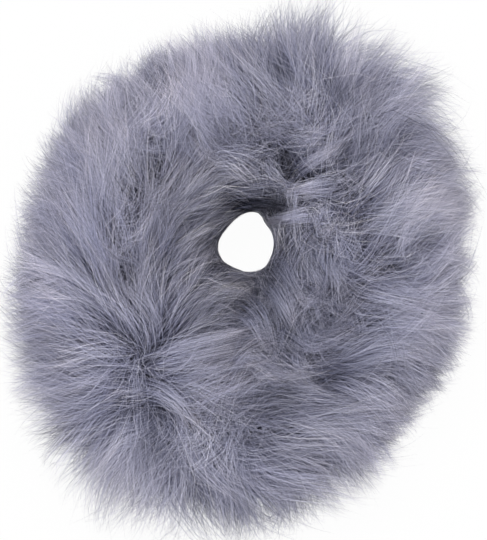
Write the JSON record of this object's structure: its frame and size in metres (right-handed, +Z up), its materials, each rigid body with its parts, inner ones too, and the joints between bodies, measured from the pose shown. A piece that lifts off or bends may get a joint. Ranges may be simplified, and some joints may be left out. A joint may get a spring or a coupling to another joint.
{
  "type": "faux-fur scrunchie",
  "caption": "Soft oval ring of long blue-grey faux fur, sewn as a tube and gathered on a hidden elastic loop, with a small round hole through its middle.",
  "frame": {"origin": "on the surface that the ring lies on, under the middle of the box round its outline", "axes": "+Z up, along the ring's axis and its hole; +Y towards the top of the ring as it faces the viewer, along its longest extent; +X to the viewer's right"},
  "size_m": [0.104, 0.1154, 0.0442],
  "materials": {
    "fur": "long, soft acrylic pile with a slight sheen",
    "knit_cloth": "matt knit",
    "elastic": "matt woven elastic",
    "sewing_thread": "spun polyester"
  },
  "bodies": {
    "fur_sleeve": {"fur_pile": "fur", "knit_backing": "knit_cloth", "long_seam_thread": "sewing_thread", "closing_seam_thread": "sewing_thread"},
    "elastic_loop": {"elastic_band": "elastic", "elastic_join_thread": "sewing_thread"}
  },
  "joints": [
    {"name": "elastic_slip", "type": "hinge", "parent": "fur_sleeve", "child": "elastic_loop", "pos_m": [0.00005, 0.0004, 0.0196], "axis": [0, 0, 1], "continuous": true}
  ]
}
